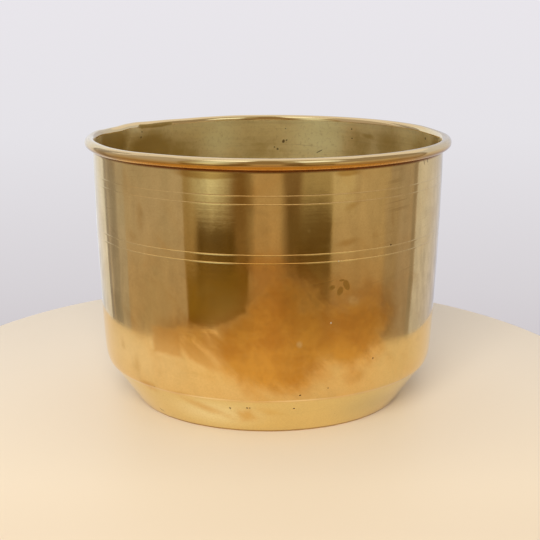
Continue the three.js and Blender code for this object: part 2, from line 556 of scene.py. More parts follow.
# Painted light high on the inside, where light comes in at the mouth.
INSIDE_PAINTED_LIGHT = (
    (109, 113.8, 160, 30, 26, 0.75),
    (70, 113.8, 160, 40, 28, 0.85),
    (143, 113.8, 164, 5, 9, 0.55, 0.9),
    (25, 113.8, 165, 8, 7, 0.45, 0.8),
)
# Brown patches on the inside, with painted shade under the bead's inner lip.
INSIDE_BROWN_AND_PAINTED_SHADE = (
    (97, 113.8, 163, 11, 12, 0.25),
    (94, 113.8, 150, 40, 26, 0.40),
    # These two rows are a painted shadow under the bead's inner lip.
    (142.5, 113.8, 172.2, 4, 3.4, 1.2),
    (136, 113.8, 172.2, 26, 3.2, 1.8),
    (128, 113.8, 146, 46, 26, 0.70),
    (139, 113.8, 152, 38, 24, 1.30),
    (162, 113.8, 160, 34, 40, 1.25),
    (54, 113.8, 154, 26, 24, 0.50),
    (40, 113.8, 158, 30, 26, 0.55),
    (22, 113.8, 160, 30, 26, 0.45),
    (6, 113.8, 164, 24, 20, 0.7),
    (50, 113.8, 162.5, 14, 4.0, 0.62, 1.0, 6),
    (43, 113.8, 162, 10, 4.0, 0.42, 1.0, -14),
)
INSIDE_PITS = (
    (84.1, 113.6, 155.6, 1.9, 2.6, 0.95, 1.0, 20),
    (82.9, 113.6, 156.4, 1.8, 1.1, 0.75, 1.0, -30),
    (86.3, 113.5, 149.7, 1.7, 1.6, 0.9, 1.0, 30),
    (87.5, 113.6, 151.2, 1.1, 1.0, 0.75, 0.9),
    (83.3, 113.8, 165.2, 0.6, 0.6, 0.8, 0.6),
    (57.1, 113.7, 166.8, 0.8, 0.8, 0.9, 0.6),
    (57.0, 113.7, 159.9, 0.8, 0.8, 0.8, 0.6),
    (70.2, 113.5, 148.8, 4.2, 0.5, 0.8, 0.7, -28),
    (142.8, 113.8, 168.0, 1.3, 1.4, 0.75),
    (143.4, 113.8, 164.2, 1.5, 2.0, 0.75, 1.0, 20),
    (17.3, 113.8, 167.6, 1.4, 1.2, 1.0, 0.6),
)

# Marks that stand alone: azimuth, radius, height, half width and half height, then softness and
# lean where they aren't 1 and 0.
PALE_WALL = (-138, 110, 46, 66, 28)
WIPED_WALL = (-42, 114, 150, 34, 26)
# Painted light on the left of the coned foot and painted shade on its right.
PAINTED_LIGHT_ON_CONE = (-110, 99, 13, 44, 17)
PAINTED_SHADE_ON_CONE = (-46, 98, 14, 48, 20)
PATCH_SQUARE = (-123.5, 111, 60, 17, 13, 0.7)
PATCH_TAIL = (-113, 111, 55, 26, 9, 1.0, -32)

# Soft limits of zones, in metres: where each begins and where it is full. A top or a foot is a
# height, an inside or an outside is a radius, and the front is along Y.
CONE_TOP = (0.0262, 0.0240)
FOOT_PAINTED_SHADE_TOP = (0.0017, 0.0007)
RUBBED_RING_TOP = (0.0009, 0.0001)
FACE_OUTSIDE = (0.1168, 0.1180)
FACE_TOP = (0.1742, 0.1726)
UNDERNEATH_OUTSIDE = (0.1155, 0.1160)
UNDERNEATH_TOP = (0.1716, 0.1703)
UNDERNEATH_FOOT = (0.1688, 0.1693)
FRONT = (-0.080, -0.104)
CROWN_FOOT = (0.1712, 0.1730)
MOUTH_INSIDE = (0.1168, 0.1150)
MOUTH_FOOT = (0.1690, 0.1700)
DARK_LINE_FOOT = (0.1656, 0.1672)
DARK_LINE_TOP = (0.1712, 0.1704)
DARK_LINE_INSIDE = (0.1158, 0.1153)
DARK_LINE_OUTSIDE = (0.1136, 0.1138)

# Colours of the outside: the metal, its orange clouds and stains, what has settled on it, and
# painted light, shade and glints.
POLISHED = (0.87, 0.62, 0.26)
PALE_POLISHED = (0.93, 0.74, 0.40)
OLIVE_DULL = (0.66, 0.53, 0.21)
WARM_DULL = (0.80, 0.46, 0.13)
BROWN_DULL = (0.60, 0.42, 0.17)
CLOUD_COLOUR = (0.74, 0.365, 0.046)
DEEP_CLOUD_COLOUR = (0.60, 0.25, 0.018)
CLOUD_FLECKS = (0.46, 0.19, 0.02)
CONE_COLOUR = (0.86, 0.72, 0.32)
# Painted light and painted shade on the coned foot.
PAINTED_LIGHT_ON_CONE_COLOUR = (1.0, 0.95, 0.62)
PAINTED_SHADE_ON_CONE_COLOUR = (0.60, 0.52, 0.27)
CONE_STAIN_COLOUR = (0.74, 0.41, 0.07)
STAIN_COLOUR = (0.56, 0.30, 0.06)
PATCH_COLOUR = (0.70, 0.36, 0.08)
BLOTCH_COLOUR = (0.44, 0.25, 0.04)
BLOOM_COLOUR = (0.86, 0.74, 0.45)
SCRATCH_COLOUR = (0.62, 0.40, 0.14)
WIPED_COLOUR = (0.55, 0.36, 0.13)
GRAIN_COLOUR = (0.60, 0.38, 0.13)
BEAD_DARK = (0.36, 0.23, 0.07)
BEAD_FACE = (0.80, 0.46, 0.12)
# Colour of the bead's underside: painted shade and warm reflection.
BEAD_UNDERNEATH_PAINTED_SHADE = (0.43, 0.175, 0.012)
BEAD_CROWN = (0.87, 0.68, 0.37)
BEAD_ENDS = (0.56, 0.40, 0.21)
# Colour of the painted shade along the foot's bottom edge, where it meets the top.
FOOT_PAINTED_SHADE_COLOUR = (0.30, 0.14, 0.04)
# Colour of the painted highlight along the crease.
PAINTED_HIGHLIGHT_COLOUR = (1.0, 0.88, 0.52)
CREVICE_COLOUR = (0.19, 0.035, 0.003)
PIT_COLOUR = (0.10, 0.055, 0.02)
# Colour of the painted glints on the nicks.
PAINTED_GLINT_COLOUR = (1.0, 1.0, 0.95)

# Colours of the inside, of the underside and of the wire.
INSIDE_METAL = (0.91, 0.78, 0.43)
INSIDE_STREAKS = (0.62, 0.50, 0.24)
# Colour of the painted light high on the inside.
INSIDE_PAINTED_LIGHT_COLOUR = (1.0, 0.95, 0.58)
INSIDE_DARK = (0.44, 0.29, 0.065)
INSIDE_SPECKS = (0.50, 0.38, 0.15)
INSIDE_SCRATCHES = (0.5, 0.38, 0.18)
UNDERSIDE_METAL = (0.74, 0.53, 0.24)
UNDERSIDE_DIRT = (0.36, 0.23, 0.10)
RING_RUBBED = (0.82, 0.62, 0.32)
WIRE_STEEL = (0.42, 0.40, 0.37)
WIRE_RUST = (0.24, 0.11, 0.05)

# The dullest that the orange clouds and stains leave the outside. Past it a render shows a hard
# line round each dull patch.
DULLEST = 0.265


def pot_coordinates(n):
    """Places on the pot in metres, with the distance from its axis and the height split off."""
    where = n.add("TexCoord").outputs["Object"]
    x, y, height = n.split(where)
    radius = n.math("SQRT", n.plus(n.times(x, x), n.times(y, y)))
    return where, radius, height


def within(n, *limits):
    """How far a place is inside several soft limits, each a coordinate of it and a zone."""
    total = None
    for coordinate, zone in limits:
        one = n.ease(coordinate, *zone)
        total = one if total is None else n.times(total, one)
    return total


def stretched(n, where, lean, along, across):
    """Coordinates that run slowly along one leaning direction and quickly across it."""
    mapping = n.add("Mapping", {"Vector": where, "Rotation": (0, math.radians(lean), 0),
                                "Scale": (1 / along, 1 / along, 1 / across)},
                    vector_type="TEXTURE")
    return mapping.outputs[0]


def rough_edged(n, where, rows, low, high, raggedness=0.5):
    """Marks whose soft edges are broken up by fine mottling."""
    mottle = n.noise(where, 85, 4, 0.62, 0.6)
    total = n.plus(marks(n, where, rows), n.swing(mottle, raggedness))
    return n.ease(total, low, high)


def aged_colour(n, where, metal, dull):
    """The bare metal's colour with olive, warm and brown patches where it has dulled."""
    olive = n.ease(n.noise(where, 16, 4, 0.55, 0.8), 0.45, 0.75, 0, 0.35 * dull)
    colour = n.mix(olive, rgb(metal), rgb(OLIVE_DULL))
    warm = n.ease(n.noise(where, 24, 3, 0.5, 1.2), 0.5, 0.8, 0, 0.30 * dull)
    colour = n.mix(warm, colour, rgb(WARM_DULL))
    brown = n.ease(n.noise(where, 55, 6, 0.65, 0.7), 0.46, 0.76, 0, 0.42 * dull)
    return n.mix(brown, colour, rgb(BROWN_DULL))


def turned_finish(n, where, radius, height, scratches):
    """The surface as the spinning tool and years of wiping left it: slow waves, rings that run
    round the pot, fine hairlines and pores. Each layer has its height in metres."""
    out_and_up = n.plus(radius, height)
    x, y, _ = n.split(where)

    def rings(along, across, detail):
        joined = n.add("CombineXYZ", {0: n.times(x, along), 1: n.times(y, along),
                                      2: n.times(out_and_up, across)})
        return n.noise(joined.outputs[0], 1.0, detail, 0.6)

    layers = (
        (n.noise(where, 9, 2, 0.4), 0.00022),
        (n.noise(where, 38, 3, 0.5), 0.00004),
        (n.noise(where, 110, 2, 0.5), 0.000010),
        (rings(5, 160, 2), 0.000012),
        (rings(9, 700, 3), 0.000005),
        (scratches, -0.000008),
        (n.noise(where, 700, 3, 0.6), 0.000006),
    )
    normal = None
    for pattern, rise in layers:
        bump = n.add("Bump", {"Strength": 1.0, "Distance": abs(rise), "Height": pattern},
                     invert=rise < 0)
        if normal is not None:
            n.put(bump.inputs["Normal"], normal)
        normal = bump.outputs[0]
    return normal


def hairlines(n, where, lean, along, across, sparse):
    """Thin wiping scratches that lean one way."""
    lines = n.noise(stretched(n, where, lean, along, across), 1.0, 2, 0.5)
    where_worn = n.ease(n.noise(where, 30, 2, 0.5), 0.45, 0.65)
    return n.times(n.ease(lines, sparse, sparse + 0.06), where_worn)


def brass_shader(n, colour, metallic, rough, normal, gloss_stretch):
    """Brass whose highlights are drawn out up and down, across the turned lines."""
    tangent = n.add("Tangent", direction_type="RADIAL", axis="Z")
    shader = n.add("BsdfPrincipled", {"Base Color": colour, "Metallic": metallic,
                                      "Roughness": rough, "Anisotropic": gloss_stretch,
                                      "Anisotropic Rotation": 0.25,
                                      "Tangent": tangent.outputs[0], "Normal": normal})
    n.surface(shader)


def orange_clouds(n, where):
    """How strongly the orange clouds show, and their colour, which deepens in places and in
    flecks.
    """
    clouds = marks(n, where, ORANGE_CLOUDS, "ADD")
    strokes = n.noise(stretched(n, where, 50, 22, 110), 1.0, 4, 0.62)
    patches = n.noise(where, 24, 3, 0.55, 0.9)
    mottle = n.noise(where, 60, 4, 0.6, 0.6)
    for pattern, amount in ((strokes, 0.75), (patches, 0.72), (mottle, 0.55)):
        clouds = n.plus(clouds, n.swing(pattern, amount))
    deeper = n.ease(n.noise(where, 48, 5, 0.62, 0.5), 0.36, 0.64)
    colour = n.mix(deeper, rgb(CLOUD_COLOUR), rgb(DEEP_CLOUD_COLOUR))
    flecks = n.ease(n.noise(where, 230, 4, 0.68), 0.40, 0.70, 0.0, 0.32)
    return n.ease(clouds, 0.0, 1.0), n.mix(flecks, colour, rgb(CLOUD_FLECKS))


def cone_tints(n, where, height, colour):
    """The coned foot is greener than the wall and stained, with painted light on its left and
    painted shade on its right.
    """
    colour = n.tint(colour, n.ease(height, *CONE_TOP), 0.72, CONE_COLOUR)
    # Painted light on the cone's left, then painted shade on its right.
    colour = n.tint(colour, mark(n, where, *PAINTED_LIGHT_ON_CONE), 0.75, PAINTED_LIGHT_ON_CONE_COLOUR)
    colour = n.tint(colour, mark(n, where, *PAINTED_SHADE_ON_CONE), 0.62, PAINTED_SHADE_ON_CONE_COLOUR)
    stains = rough_edged(n, where, CONE_STAINS, 0.0, 0.8, 0.7)
    return n.tint(colour, stains, 0.72, CONE_STAIN_COLOUR)


def half_wiped_patch(n, where):
    """A squarish orange patch with a leaning tail, left behind by a cloth."""
    square = straight_mark(n, where, *PATCH_SQUARE)
    tail = mark(n, where, *PATCH_TAIL)
    patch = n.math("MAXIMUM", square, n.times(tail, 1.1))
    ragged = n.swing(n.noise(where, 70, 4, 0.6, 0.5), 0.7)
    return n.ease(n.plus(patch, ragged), 0.2, 0.85)


def bead_tints(n, where, radius, height, colour):
    """The bead has a brown face, a crown that hands rub bright, and warm ends. Its dark orange
    underside is painted shade and warm reflection, strongest in front."""
    face = within(n, (radius, FACE_OUTSIDE), (height, FACE_TOP))
    colour = n.tint(colour, face, 0.55, BEAD_FACE)
    # The underside of the bead, painted as shade and warm reflection, stronger in front.
    under = within(n, (radius, UNDERNEATH_OUTSIDE), (height, UNDERNEATH_TOP),
                   (height, UNDERNEATH_FOOT))
    _, y, _ = n.split(where)
    colour = n.tint(colour, under, n.ease(y, *FRONT, 0.55, 0.92), BEAD_UNDERNEATH_PAINTED_SHADE)
    mouth = within(n, (radius, MOUTH_INSIDE), (height, MOUTH_FOOT))
    crown = n.math("MAXIMUM", n.ease(height, *CROWN_FOOT), mouth)
    colour = n.tint(colour, crown, 0.85, BEAD_CROWN)
    ends = rough_edged(n, where, WARM_BEAD_ENDS, 0.0, 1.0, 0.4)
    return n.tint(colour, ends, 0.8, BEAD_ENDS)


def dark_line_under_bead(n, radius, height):
    """A dark line in the groove under the bead."""
    return n.times(within(n, (height, DARK_LINE_FOOT), (height, DARK_LINE_TOP)),
                   within(n, (radius, DARK_LINE_INSIDE), (radius, DARK_LINE_OUTSIDE)))


def outside_brass():
    """Polished brass gone patchy: orange clouds low down, stains, pits and a dark line under the
    bead, with painted light, shade and glints on the cone, foot, crease, bead and nicks.
    """
    material, n = new_material("brass_outside")
    where, radius, height = pot_coordinates(n)
    colour = aged_colour(n, where, POLISHED, 1.0)
    colour = n.tint(colour, mark(n, where, *PALE_WALL), 0.6, PALE_POLISHED)
    clouds, cloud_colour = orange_clouds(n, where)
    colour = n.mix(n.times(clouds, 0.88), colour, cloud_colour)
    colour = cone_tints(n, where, height, colour)
    stains = rough_edged(n, where, BROWN_STAINS, 0.12, 0.7)
    patch = half_wiped_patch(n, where)
    blotch = rough_edged(n, where, BLOTCH, 0.28, 0.52, 0.9)
    bloom = rough_edged(n, where, GREY_BLOOM, 0.25, 1.0, 0.9)
    dark_bead = rough_edged(n, where, DARK_BEAD, 0.1, 0.8)
    scratches = n.math("MAXIMUM", hairlines(n, where, -9, 7, 420, 0.66),
                       hairlines(n, where, 48, 10, 300, 0.68))
    wiped = n.times(hairlines(n, where, -5, 9, 560, 0.56), mark(n, where, *WIPED_WALL))
    for amount, strength, over in ((stains, 0.75, STAIN_COLOUR), (patch, 0.55, PATCH_COLOUR),
                                   (blotch, 0.78, BLOTCH_COLOUR), (bloom, 0.35, BLOOM_COLOUR),
                                   (dark_bead, 0.75, BEAD_DARK), (scratches, 0.3, SCRATCH_COLOUR),
                                   (wiped, 0.85, WIPED_COLOUR)):
        colour = n.tint(colour, amount, strength, over)
    grain = n.ease(n.noise(where, 850, 3, 0.7), 0.35, 0.75, 0.0, 0.22)
    colour = n.mix(grain, colour, rgb(GRAIN_COLOUR))
    colour = bead_tints(n, where, radius, height, colour)
    # Painted shade along the bottom edge of the foot, where it meets the top.
    colour = n.tint(colour, n.ease(height, *FOOT_PAINTED_SHADE_TOP), 0.85, FOOT_PAINTED_SHADE_COLOUR)
    # Painted highlight along the crease.
    colour = n.tint(colour, marks(n, where, CREASE_PAINTED_HIGHLIGHT), 0.9, PAINTED_HIGHLIGHT_COLOUR)
    crevice = dark_line_under_bead(n, radius, height)
    colour = n.tint(colour, crevice, 0.9, CREVICE_COLOUR)
    pits = rough_edged(n, where, DARK_PITS, 0.3, 0.6)
    colour = n.mix(pits, colour, rgb(PIT_COLOUR))
    # Painted glints on small nicks.
    nick_glints = marks(n, where, NICKS_WITH_PAINTED_GLINTS)
    colour = n.mix(nick_glints, colour, rgb(PAINTED_GLINT_COLOUR))
    rough = n.ease(n.noise(where, 16, 4, 0.55, 0.8), 0.35, 0.75, 0.08, 0.135)
    rough = n.math("SUBTRACT", rough, n.times(marks(n, where, WELL_POLISHED), 0.05))
    deep_clouds = n.ease(clouds, 0.45, 0.9)
    for worn, amount in ((deep_clouds, 0.15), (patch, 0.12), (stains, 0.05), (blotch, 0.08),
                         (bloom, 0.05)):
        rough = n.plus(rough, n.times(worn, amount))
    rough = n.math("MINIMUM", rough, DULLEST)
    for worn, amount in ((pits, 0.35), (crevice, 0.25), (nick_glints, 0.5)):
        rough = n.plus(rough, n.times(worn, amount))
    normal = turned_finish(n, where, radius, height, n.plus(scratches, pits))
    brass_shader(n, colour, 1.0, rough, normal, 0.6)
    return material


def inside_brass():
    """The unpolished inside: greenish, dull and blotched, with painted light high up and painted
    shade under the bead's inner lip.
    """
    material, n = new_material("brass_inside")
    where, radius, height = pot_coordinates(n)
    colour = aged_colour(n, where, INSIDE_METAL, 0.9)
    streaks = n.noise(stretched(n, where, 0, 12, 260), 1.0, 3, 0.6)
    colour = n.mix(n.ease(streaks, 0.40, 0.72, 0.0, 0.45), colour, rgb(INSIDE_STREAKS))
    # Painted light high up on the inside.
    light = rough_edged(n, where, INSIDE_PAINTED_LIGHT, 0.1, 0.9)
    colour = n.tint(colour, light, 0.8, INSIDE_PAINTED_LIGHT_COLOUR)
    # Brown patches, and painted shade under the inner lip.
    brown = rough_edged(n, where, INSIDE_BROWN_AND_PAINTED_SHADE, 0.0, 0.8)
    colour = n.tint(colour, brown, 0.85, INSIDE_DARK)
    specks = n.ease(n.noise(where, 420, 4, 0.7), 0.48, 0.76, 0.0, 0.4)
    colour = n.mix(specks, colour, rgb(INSIDE_SPECKS))
    pits = rough_edged(n, where, INSIDE_PITS, 0.3, 0.6)
    colour = n.tint(colour, pits, 0.85, PIT_COLOUR)
    scratches = hairlines(n, where, 4, 8, 380, 0.66)
    colour = n.tint(colour, scratches, 0.35, INSIDE_SCRATCHES)
    rough = n.ease(n.noise(where, 20, 4, 0.55, 0.8), 0.35, 0.75, 0.38, 0.46)
    normal = turned_finish(n, where, radius, height, n.plus(scratches, pits))
    brass_shader(n, colour, 0.9, rough, normal, 0.35)
    return material


def underside_brass():
    """The underside, never polished: brown, scuffed on the ring that it stands on."""
    material, n = new_material("brass_underside")
    where, radius, height = pot_coordinates(n)
    colour = aged_colour(n, where, UNDERSIDE_METAL, 1.4)
    dirt = n.ease(n.noise(where, 45, 5, 0.65, 0.4), 0.45, 0.75, 0, 0.5)
    colour = n.mix(dirt, colour, rgb(UNDERSIDE_DIRT))
    colour = n.tint(colour, n.ease(height, *RUBBED_RING_TOP), 0.5, RING_RUBBED)
    rough = n.ease(dirt, 0, 0.5, 0.34, 0.5)
    scratches = hairlines(n, where, 30, 12, 300, 0.62)
    normal = turned_finish(n, where, radius, height, scratches)
    brass_shader(n, colour, 1.0, rough, normal, 0.35)
    return material


def steel_material():
    """Drawn steel wire with a little rust."""
    material, n = new_material("drawn_steel_wire")
    where = n.add("TexCoord").outputs["Object"]
    rust = n.ease(n.noise(where, 240, 4, 0.6), 0.5, 0.75, 0, 0.5)
    colour = n.mix(rust, rgb(WIRE_STEEL), rgb(WIRE_RUST))
    rough = n.ease(rust, 0, 0.5, 0.38, 0.7)
    bump = n.add("Bump", {"Strength": 0.5, "Distance": 0.00002, "Height": n.noise(where, 900, 2)})
    shader = n.add("BsdfPrincipled", {"Base Color": colour, "Metallic": 0.9, "Roughness": rough,
                                      "Normal": bump.outputs[0]})
    n.surface(shader)
    return material


# The pot.

# The knocks and the unevenness of the wall: azimuth in degrees, then in mm the height and radius
# of the place, how far it is moved outwards and upwards, how far round it the sheet moves as one
# and how far round it the rest follows.
KNOCKS = (
    (-132, 78, 112, -0.16, 0.0, 4, 26),
    (-121, 52, 111, 0.12, 0.0, 4, 20),
    (-109, 84, 112, 0.10, 0.0, 4, 26),
    (-40, 72, 112, -0.12, 0.0, 4, 26),
    (-57, 100, 113, 0.10, 0.0, 4, 24),
    (-98, 152, 114, -0.06, 0.0, 4, 20),
    (-72, 118, 114, 0.05, 0.0, 4, 22),
    (-25, 96, 113, 0.10, 0.0, 4, 30),
    (-150, 104, 113, -0.08, 0.0, 4, 26),
    (130, 171, 116, -0.4, -0.55, 6, 34),
    (116, 171, 116, -0.2, -0.35, 6, 26),
    (153, 171, 113.4, -0.9, -0.1, 4, 15),
    (160, 171, 116, -0.2, -0.65, 6, 17),
    (143.5, 172, 114.2, 0.35, 0.2, 1.6, 6),
    (12, 171, 116, 0.0, -0.5, 5, 26),
    (143, 164, 113.5, -0.5, 0.0, 3, 13),
    (8, 173, 118, -0.35, -0.25, 1.2, 3.2),
    (-141, 171, 116, 0.0, -0.42, 6, 34),
    (60, 158, 113.5, 0.25, 0.0, 4, 26),
    (110, 120, 113, -0.3, 0.0, 5, 34),
    (30, 80, 112, 0.25, 0.0, 5, 34),
    (172, 90, 112, -0.3, 0.0, 5, 34),
)


def knocks(body):
    """Pushes in the dents that the pot has picked up and the waves that spinning has left."""
    for row in KNOCKS:
        push(body, *row)


# Where the inside's finish ends, in mm above the bead's middle. On one stretch, given by its
# azimuths in degrees, the mouth is rubbed bright below the bead too, and on the next the bead's
# side is dull.
INSIDE_TOP = 0.15
FRONT_INSIDE_TOP = 1.0
BRIGHT_INSIDE_TOP = -1.3
BRIGHT_STRETCH = (144, 180)
DULL_INSIDE_TOP = 1.8
DULL_STRETCH = (128, 144)
SLACK = 0.2               # how far off its limit a facet may lie


def share_materials(mesh):
    """Slot 1 for the inside up to the bead, slot 2 for the underside, slot 0 elsewhere."""
    centres = np.empty(len(mesh.polygons) * 3)
    normals = np.empty(len(mesh.polygons) * 3)
    mesh.polygons.foreach_get("center", centres)
    mesh.polygons.foreach_get("normal", normals)
    centres = centres.reshape(-1, 3) / MM
    normals = normals.reshape(-1, 3)
    radius = np.hypot(centres[:, 0], centres[:, 1])
    height = centres[:, 2]
    azimuth = np.degrees(np.arctan2(centres[:, 1], centres[:, 0]))
    outward = (normals[:, :2] * centres[:, :2]).sum(1) / np.maximum(radius, 0.01)
    faces_in = outward < -0.1
    faces_up = normals[:, 2] > 0.7
    faces_down = normals[:, 2] < -0.6
    in_roll = np.hypot(radius - BEAD_X, height - BEAD_Z) < BEAD_RADIUS - SLACK
    bright = (azimuth > BRIGHT_STRETCH[0]) & (azimuth < BRIGHT_STRETCH[1])
    dull = (azimuth > DULL_STRETCH[0]) & (azimuth < DULL_STRETCH[1])
    top = np.where(azimuth < 0, FRONT_INSIDE_TOP, INSIDE_TOP)
    top = BEAD_Z + np.where(bright, BRIGHT_INSIDE_TOP, np.where(dull, DULL_INSIDE_TOP, top))
    wall = faces_in & (height < top) & ~in_roll
    floor = faces_up & (height < WALL_BOTTOM)
    under = faces_down & (height < DISH_DEPTH + SLACK)
    slots = np.where(under, 2, np.where(wall | floor, 1, 0))
    mesh.polygons.foreach_set("material_index", slots)


def spun_brass_body():
    """The brass pot: its outline is drawn and spun, then the knocks it has had are pushed in."""
    body = draw_outline("spun_brass_body", body_outline())
    spin_round(ROUND_STEPS)
    finish_piece(body, 30, outside_brass(), inside_brass(), underside_brass())
    share_materials(body.data)
    knocks(body)
    bpy.ops.object.mode_set(mode="OBJECT")
    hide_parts("spun_body")
    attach(body, "root")


def rim_wire():
    """The steel wire inside the rolled rim, one turn with butted ends."""
    gap = WIRE_END_GAP / BEAD_X
    section = arc((BEAD_X, BEAD_Z), WIRE_RADIUS, 0, 360, steps=16)[:-1]
    wire = draw_outline("rim_wire_turn", section)
    bpy.ops.mesh.select_all(action="SELECT")
    bpy.ops.mesh.edge_face_add()
    start = math.radians(WIRE_JOINT) + gap / 2
    bpy.ops.transform.rotate(value=-start, orient_axis="Z", center_override=(0, 0, 0))
    spin_round(WIRE_STEPS, gap - 2 * math.pi)
    finish_piece(wire, 40, steel_material())
    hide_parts("rim_wire")
    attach(wire, "root")


# The stage, in metres. The camera stands where the photograph was taken from.
CAMERA_PLACE = (0, -0.81888, 0.27464)
CAMERA_TILT = 76.811      # degrees up from looking straight down
CAMERA_LENS = 82.951
CAMERA_SHIFT = 0.00396
LAMP_AIM = (0, 0, 0.08)
TOP_HALF_SIZE = (0.250, 0.297)
TOP_CENTRE = (-0.008, -0.003)
TOP_THICKNESS = 0.022
TOP_EDGE = 0.003          # width of its bevel
# The warmer front colour is painted warm light thrown by the brass.
TOP_COLOURS = {"front_edge": (0.795, 0.65, 0.465), "front": (0.855, 0.705, 0.505),
               "back": (0.88, 0.755, 0.585), "side": (0.62, 0.50, 0.36)}


def photo_camera():
    """Looks at the pot as the photograph does."""
    tilt = (math.radians(CAMERA_TILT), 0, 0)
    bpy.ops.object.camera_add(location=CAMERA_PLACE, rotation=tilt)
    camera = bpy.context.object
    camera.data.sensor_width = 36
    camera.data.lens = CAMERA_LENS
    camera.data.shift_x = CAMERA_SHIFT
    camera.data.clip_start = 0.01
    camera.data.dof.use_dof = False
    bpy.context.scene.camera = camera


def pale_surface():
    """An oval pale top that the pot stands on."""
    deselect()
    bpy.ops.mesh.primitive_cylinder_add(vertices=160, radius=1, depth=TOP_THICKNESS,
                                        location=(0, 0, -TOP_THICKNESS / 2))
    top = bpy.context.object
    top.name = "pale_surface"
    bpy.ops.object.mode_set(mode="EDIT")
    bpy.ops.mesh.select_all(action="SELECT")
    bpy.ops.transform.resize(value=(*TOP_HALF_SIZE, 1))
    bpy.ops.transform.translate(value=(*TOP_CENTRE, 0))
    bpy.ops.object.mode_set(mode="OBJECT")
    bevel = top.modifiers.new("soft_edge", "BEVEL")
    bevel.width = TOP_EDGE
    bevel.segments = 3
    bevel.limit_method = "ANGLE"
    bpy.ops.object.modifier_apply(modifier=bevel.name)
    bpy.ops.object.shade_smooth_by_angle(angle=math.radians(30))
    top.data.materials.append(pale_warm_surface())


def pale_warm_surface():
    """The top's smooth finish, deeper and warmer towards the front, which is painted warm light
    thrown by the brass, and a little deeper on its side.
    """
    material, n = new_material("pale_warm_surface")
    where = n.add("TexCoord").outputs["Object"]
    _, y, z = n.split(where)
    colours = {part: rgb(colour) for part, colour in TOP_COLOURS.items()}
    colour = n.mix(n.ease(y, -0.26, 0.10), colours["front"], colours["back"])
    colour = n.mix(n.ease(y, -0.16, -0.25), colour, colours["front_edge"])
    colour = n.mix(n.ease(z, -0.001, -0.003), colour, colours["side"])
    n.surface(n.add("BsdfPrincipled", {"Base Color": colour, "Roughness": 0.5}))
    return material


def soft_lamp(name, place, size, power, colour):
    """A square lamp that shines on the pot and isn't mirrored in it."""
    bpy.ops.object.light_add(type="AREA", location=place)
    lamp = bpy.context.object
    lamp.name = name
    lamp.data.shape = "SQUARE"
    lamp.data.size = size
    lamp.data.energy = power
    lamp.data.color = colour
    lamp.visible_glossy = False
    aim = Vector(LAMP_AIM) - Vector(place)
    lamp.rotation_euler = aim.to_track_quat("-Z", "Y").to_euler()


def pale_world():
    """Pale grey all round for the camera and for mirrors, dimmer and warmer overhead in front,
    and an even light for the rest."""
    world = bpy.data.worlds.new("pale_room")
    bpy.context.scene.world = world
    world.use_nodes = True
    n = Nodes(world.node_tree)
    direction = n.add("TexCoord").outputs["Generated"]
    _, y, up = n.split(direction)
    shade = n.ramp(n.math("ADD", n.times(up, 2.0), 0.7, clamp=True),
                   [(0.10, (0.60, 0.56, 0.58)), (0.22, (0.675, 0.645, 0.67)),
                    (0.46, (0.785, 0.768, 0.802)), (0.68, (0.815, 0.792, 0.832))])
    over_the_front = within(n, (up, (0.60, 0.80)), (y, (0.12, -0.08)))
    shade = n.mix(over_the_front, shade, rgb((0.46, 0.39, 0.28)))
    shown = n.add("Background", {"Color": shade, "Strength": 1.0})
    even = n.add("Background", {"Color": rgb((1.0, 0.98, 0.97)), "Strength": 0.42})
    path = n.add("LightPath")
    seen = n.math("MAXIMUM", n.math("MAXIMUM", path.outputs["Is Camera Ray"],
                                    path.outputs["Is Glossy Ray"]),
                  path.outputs["Is Transmission Ray"])
    mixed = n.add("MixShader", {0: seen, 1: even.outputs[0], 2: shown.outputs[0]})
    n.surface(mixed, "OutputWorld")


# The cards' slopes are measured from this height on the pot's axis, in mm, and between the two
# slopes of the colour change a card passes from its upper colour to its lower one.
EYE_HEIGHT = 100.0
COLOUR_CHANGE = (-9, -19)
CARD_STEP = 4             # degrees of a card's curve from one upright edge to the next
CARD_RAGGED = (2.2, 3.0)  # how ragged its upright and its level edges are, times their softness


def card_glow(name, span, slopes, distance, upper, lower, softness):
    """Even light that changes from the upper colour to the lower one and fades at ragged edges."""
    material, n = new_material(name)
    where = n.add("TexCoord").outputs["Object"]
    x, y, z = n.split(where)
    degrees = 180 / math.pi
    bearing = n.times(n.math("ARCTAN2", x, n.times(y, -1.0)), degrees)
    rise = n.math("DIVIDE", n.math("SUBTRACT", z, EYE_HEIGHT * MM), distance)
    slope = n.times(n.math("ARCTANGENT", rise), degrees)
    colour = n.mix(n.ease(slope, *COLOUR_CHANGE), rgb(upper), rgb(lower))
    blotches = n.noise(stretched(n, where, 0, 5, 26), 1.0, 3, 0.55)
    strength = n.ease(blotches, 0.25, 0.75, 0.86, 1.14)
    glow = n.add("Emission", {"Color": colour, "Strength": strength})
    sideways, level = softness
    if sideways:
        mottle = n.noise(stretched(n, where, 0, 3.5, 9), 1.0, 4, 0.62)
        bearing = n.plus(bearing, n.swing(mottle, CARD_RAGGED[0] * sideways))
        slope = n.plus(slope, n.swing(mottle, CARD_RAGGED[1] * level))
        shown = within(n, (bearing, (span[0] - sideways, span[0] + sideways)),
                       (bearing, (span[1] + sideways, span[1] - sideways)),
                       (slope, (slopes[0] - level, slopes[0] + level)),
                       (slope, (slopes[1] + level, slopes[1] - level)))
        clear = n.add("BsdfTransparent")
        glow = n.add("MixShader", {0: shown, 1: clear.outputs[0], 2: glow.outputs[0]})
    n.surface(glow)
    material.cycles.emission_sampling = "NONE"
    return material


